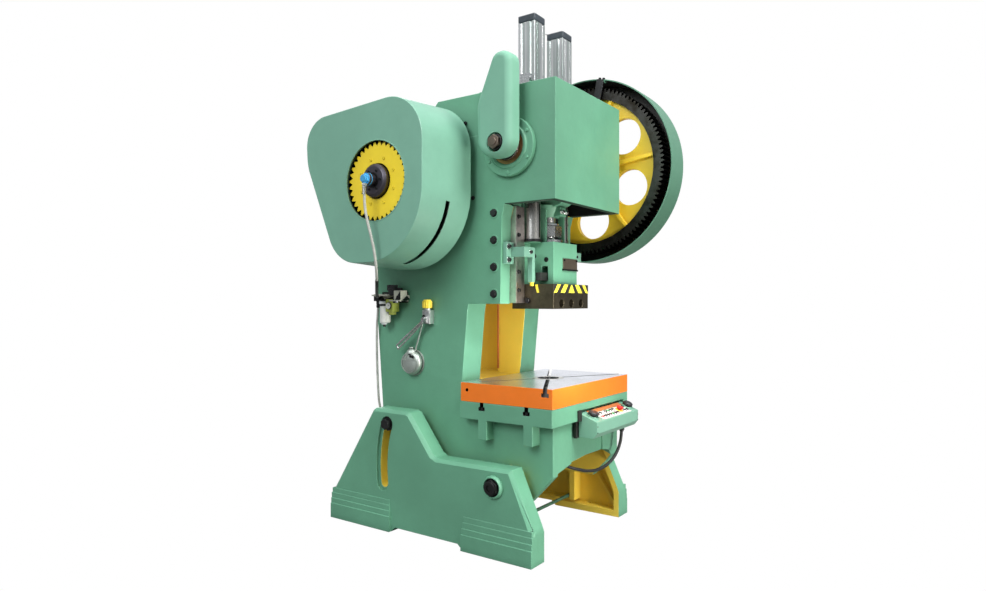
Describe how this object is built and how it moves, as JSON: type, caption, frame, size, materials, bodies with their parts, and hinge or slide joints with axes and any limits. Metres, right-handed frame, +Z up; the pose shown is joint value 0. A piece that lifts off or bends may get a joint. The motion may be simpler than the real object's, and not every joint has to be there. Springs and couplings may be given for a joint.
{
  "type": "mechanical stamping press",
  "caption": "Open-back inclinable C-frame press on two cast legs: geared crankshaft, guided slide over a slotted bolster, belt-driven flywheel, balance cylinders and two-hand desk.",
  "frame": {"origin": "on the floor at the centre of the anchor bolt pattern, midway between the two legs", "axes": "+X to the machine's right seen from the operator's place, -Y to the front where the operator stands, +Z up"},
  "size_m": [1.38, 1.5869, 2.592],
  "materials": {
    "cast_green": "semi-gloss",
    "sheet_green": "semi-gloss",
    "orange_steel": "semi-gloss",
    "yellow_paint": "semi-gloss",
    "bright_steel": "machined",
    "dark_steel": "blackened",
    "bronze": "machined",
    "cast_iron": "machined",
    "aluminium": "satin",
    "black_plastic": "gloss",
    "red_plastic": "gloss",
    "yellow_plastic": "gloss",
    "clear_bowl": "gloss",
    "rubber": "matt",
    "grey_hose": "matt",
    "motor_green": "semi-gloss",
    "blue_fitting": "semi-gloss"
  },
  "bodies": {
    "base": {"leg_left": "cast_green", "leg_right": "cast_green", "tie_rods": "bright_steel", "pivot_bolts": "dark_steel"},
    "frame": {"c_frame": "cast_green", "bearing_housing_left": "cast_iron", "bearing_housing_right": "cast_iron", "crank_bush_left": "bronze", "crank_bush_right": "bronze", "gib_left": "bronze", "gib_right": "bronze", "gib_bolts": "dark_steel", "bolster": "orange_steel", "tilt_lock_bolts": "dark_steel", "cylinder_tube_left": "aluminium", "cylinder_tube_right": "aluminium", "cylinder_cap_left": "black_plastic", "cylinder_cap_right": "black_plastic", "crank_end_cover": "cast_green", "flywheel_guard": "sheet_green", "gear_guard": "sheet_green", "motor": "motor_green", "drive_belts": "rubber", "shaft_bearing_left": "cast_iron", "shaft_bearing_right": "cast_iron", "rotary_union": "blue_fitting", "air_valve": "aluminium", "air_regulator": "aluminium", "filter_bowl": "clear_bowl", "pump_body": "cast_iron", "pump_cap": "yellow_plastic", "oil_pot": "bright_steel", "control_box": "sheet_green", "control_panel": "bright_steel", "union_hose": "grey_hose", "supply_hose": "grey_hose", "control_cable": "rubber", "stop_bracket_left": "sheet_green", "stop_bracket_right": "sheet_green"},
    "crank": {"crankshaft": "bright_steel", "bull_gear": "yellow_paint"},
    "drive": {"pinion_shaft": "bright_steel", "clutch_hub": "dark_steel"},
    "flywheel": {"flywheel": "yellow_paint", "clutch_ring": "yellow_paint"},
    "pulley": {"motor_pulley": "cast_iron", "motor_shaft": "bright_steel"},
    "slide": {"slide": "cast_green", "clamp_block": "dark_steel", "connecting_rod": "cast_iron", "lock_nut": "bright_steel", "cylinder_rod_left": "bright_steel", "cylinder_rod_right": "bright_steel"},
    "screw": {"ball_screw": "bright_steel"},
    "knockout": {"knockout_bar": "dark_steel"},
    "knob": {"regulator_knob": "black_plastic"},
    "lever": {"pump_lever": "bright_steel"},
    "palm_left": {"palm_button_left": "black_plastic"},
    "palm_right": {"palm_button_right": "black_plastic"},
    "stop": {"stop_button": "red_plastic"}
  },
  "joints": [
    {"name": "frame_tilt", "type": "hinge", "parent": "base", "child": "frame", "pos_m": [0, -0.432, 0.327], "axis": [-1, 0, 0], "range_deg": [0, 25]},
    {"name": "crank_spin", "type": "hinge", "parent": "frame", "child": "crank", "pos_m": [0, -0.43, 1.906], "axis": [1, 0, 0], "continuous": true},
    {"name": "drive_spin", "type": "hinge", "parent": "frame", "child": "drive", "pos_m": [0, 0.0854, 1.745], "axis": [1, 0, 0], "continuous": true},
    {"name": "flywheel_spin", "type": "hinge", "parent": "frame", "child": "flywheel", "pos_m": [0, 0.0854, 1.745], "axis": [1, 0, 0], "continuous": true},
    {"name": "motor_spin", "type": "hinge", "parent": "frame", "child": "pulley", "pos_m": [0, 0.435, 1.925], "axis": [1, 0, 0], "continuous": true},
    {"name": "slide_travel", "type": "slide", "parent": "frame", "child": "slide", "axis": [0, 0, 1], "range_m": [0, 0.1]},
    {"name": "screw_turn", "type": "hinge", "parent": "slide", "child": "screw", "pos_m": [0, -0.43, 1.5], "axis": [0, 0, 1], "range_deg": [-360, 360]},
    {"name": "knockout_lift", "type": "slide", "parent": "slide", "child": "knockout", "axis": [0, 0, 1], "range_m": [0, 0.03]},
    {"name": "pump_stroke", "type": "hinge", "parent": "frame", "child": "lever", "pos_m": [-0.394, 0.072, 1.081], "axis": [1, 0, 0], "range_deg": [0, 30]},
    {"name": "regulator_turn", "type": "hinge", "parent": "frame", "child": "knob", "pos_m": [-0.389, 0.293, 1.22], "axis": [0, 0, 1], "range_deg": [-135, 135]},
    {"name": "palm_left_press", "type": "slide", "parent": "frame", "child": "palm_left", "axis": [0, 0.3479, -0.9375], "range_m": [0, 0.006], "stiffness_N_per_m": 900, "springref_m": -0.002},
    {"name": "palm_right_press", "type": "slide", "parent": "frame", "child": "palm_right", "axis": [0, 0.3479, -0.9375], "range_m": [0, 0.006], "stiffness_N_per_m": 900, "springref_m": -0.002},
    {"name": "stop_press", "type": "slide", "parent": "frame", "child": "stop", "axis": [0, 0.3479, -0.9375], "range_m": [0, 0.006], "stiffness_N_per_m": 900, "springref_m": -0.002}
  ],
  "couplings": [
    {"joint": "drive_spin", "follows": "crank_spin", "ratio": -5.4286},
    {"joint": "motor_spin", "follows": "flywheel_spin", "ratio": 3.9697}
  ]
}
